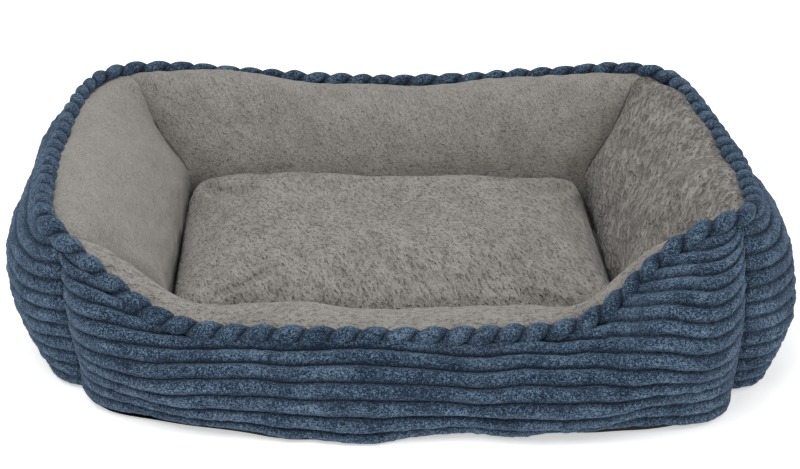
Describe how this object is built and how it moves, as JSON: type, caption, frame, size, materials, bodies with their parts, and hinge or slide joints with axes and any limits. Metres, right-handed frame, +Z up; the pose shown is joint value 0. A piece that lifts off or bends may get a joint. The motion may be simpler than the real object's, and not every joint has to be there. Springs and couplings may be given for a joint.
{
  "type": "pet bed",
  "caption": "Rectangular bolster bed for a cat or small dog: stuffed walls with a low entry, wide-wale cord outside, plush inside, piped rim and a loose cushion.",
  "frame": {"origin": "on the floor, under the middle of the bed's footprint", "axes": "+X along the bed's length, +Y from the low entry to the back wall, +Z up"},
  "size_m": [0.6, 0.465, 0.1508],
  "materials": {
    "cord_cloth": "jumbo-wale corduroy plush",
    "plush": "short-pile plush",
    "non_slip_cloth": "woven, with printed grip dots",
    "wadding": "polyester fibre",
    "filler_cord": "twisted cotton"
  },
  "bodies": {
    "bed": {"base_bottom_panel": "non_slip_cloth", "base_pad": "wadding", "base_lining": "plush", "front_outer_panel": "cord_cloth", "front_inner_panel": "plush", "front_bolster_fill": "wadding", "back_outer_panel": "cord_cloth", "back_inner_panel": "plush", "back_bolster_fill": "wadding", "left_outer_panel": "cord_cloth", "left_inner_panel": "plush", "left_bolster_fill": "wadding", "right_outer_panel": "cord_cloth", "right_inner_panel": "plush", "right_bolster_fill": "wadding", "rim_piping_cover": "cord_cloth", "rim_piping_cord": "filler_cord"},
    "cushion": {"cushion_top_panel": "plush", "cushion_bottom_panel": "plush", "cushion_fill": "wadding"}
  },
  "joints": [
    {"name": "cushion_lift", "type": "slide", "parent": "bed", "child": "cushion", "axis": [0, 0, 1], "range_m": [0, 0.24]}
  ]
}
